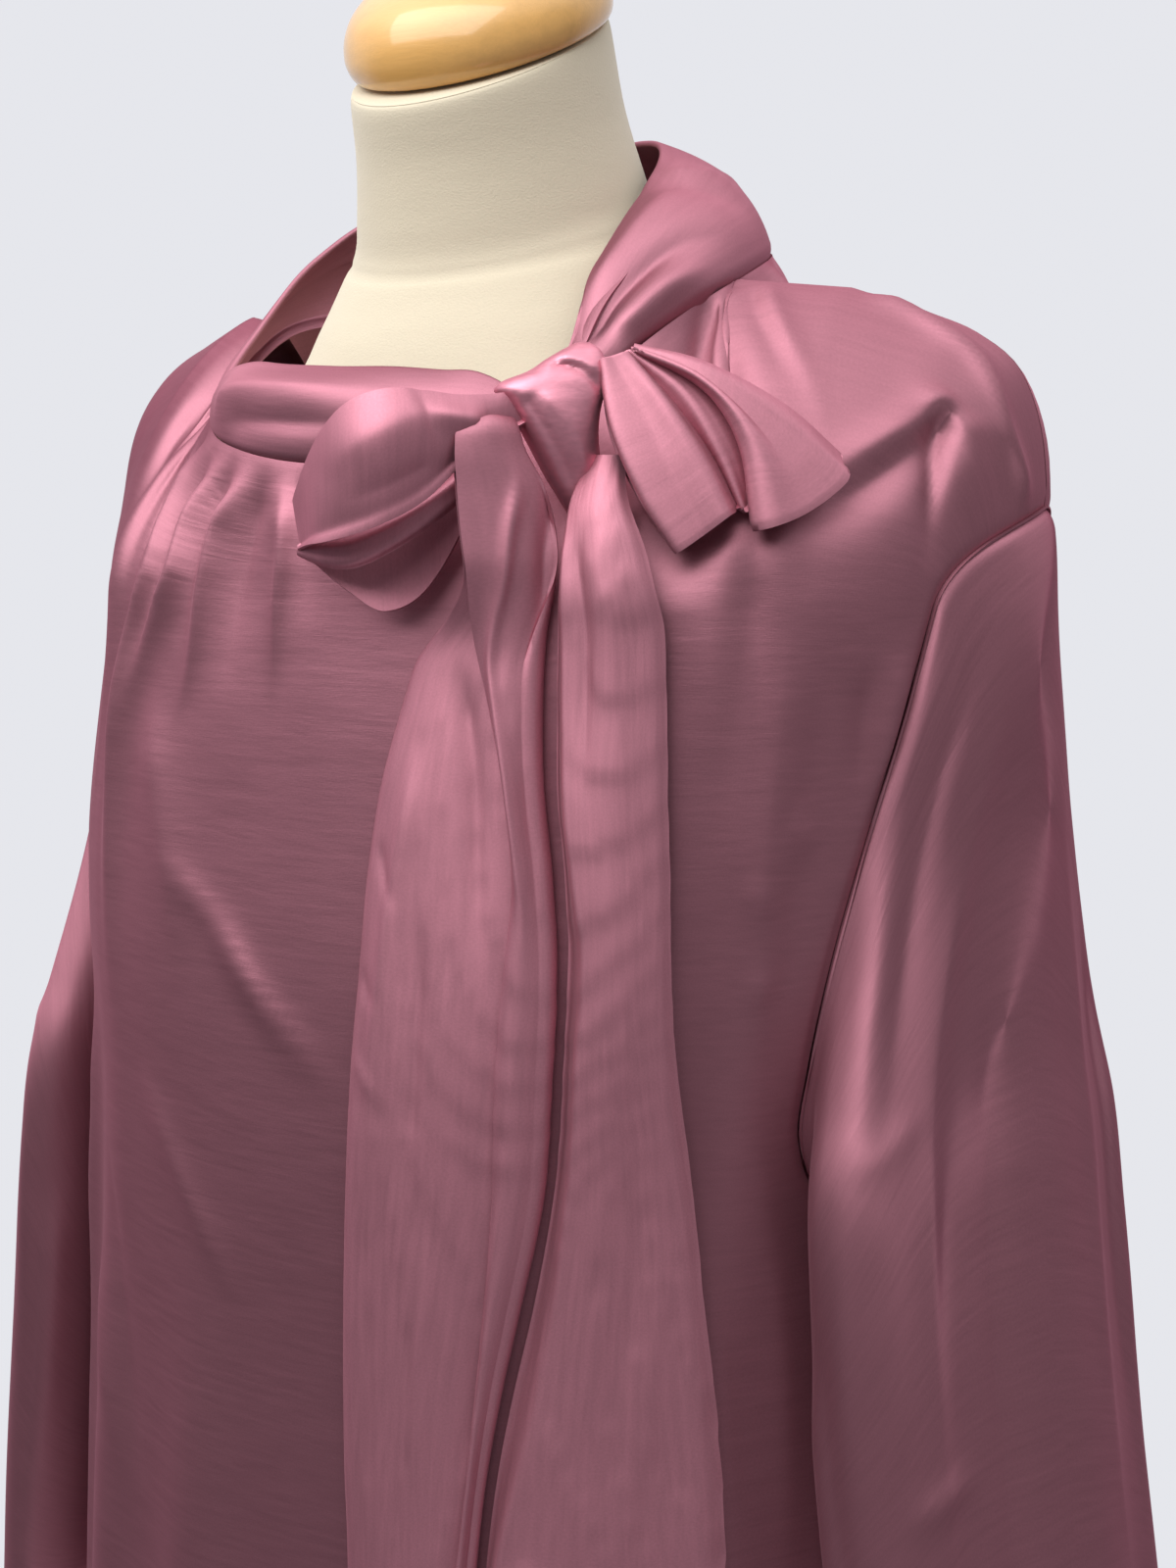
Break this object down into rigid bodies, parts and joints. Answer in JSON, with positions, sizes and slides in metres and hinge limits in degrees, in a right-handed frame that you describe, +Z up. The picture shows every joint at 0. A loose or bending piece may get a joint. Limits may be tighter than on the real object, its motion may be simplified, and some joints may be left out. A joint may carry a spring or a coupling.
{
  "type": "tie-neck blouse on a limbless dress form",
  "caption": "Satin tie-neck blouse with a soft side bow, gathered neckline and long open sleeves, shown on a limbless dress form with a wooden neck cap, pole and round base.",
  "frame": {"origin": "on the floor, under the middle of the stand's base", "axes": "+Z up along the pole, -Y towards the wearer's front, +X towards the wearer's left"},
  "size_m": [0.5882, 0.38, 1.5598],
  "materials": {
    "satin": "satin",
    "jersey": "matt",
    "cap_wood": "varnished",
    "pole_metal": "satin",
    "base_metal": "satin"
  },
  "bodies": {
    "root": {"front": "satin", "back": "satin", "left_sleeve": "satin", "right_sleeve": "satin", "neck_band": "satin", "knot": "satin", "bow_loop_right": "satin", "bow_loop_left": "satin", "tie_tail_right": "satin", "tie_tail_left": "satin", "form_body": "jersey", "neck_cap": "cap_wood", "pole": "pole_metal", "base": "base_metal"}
  },
  "joints": []
}
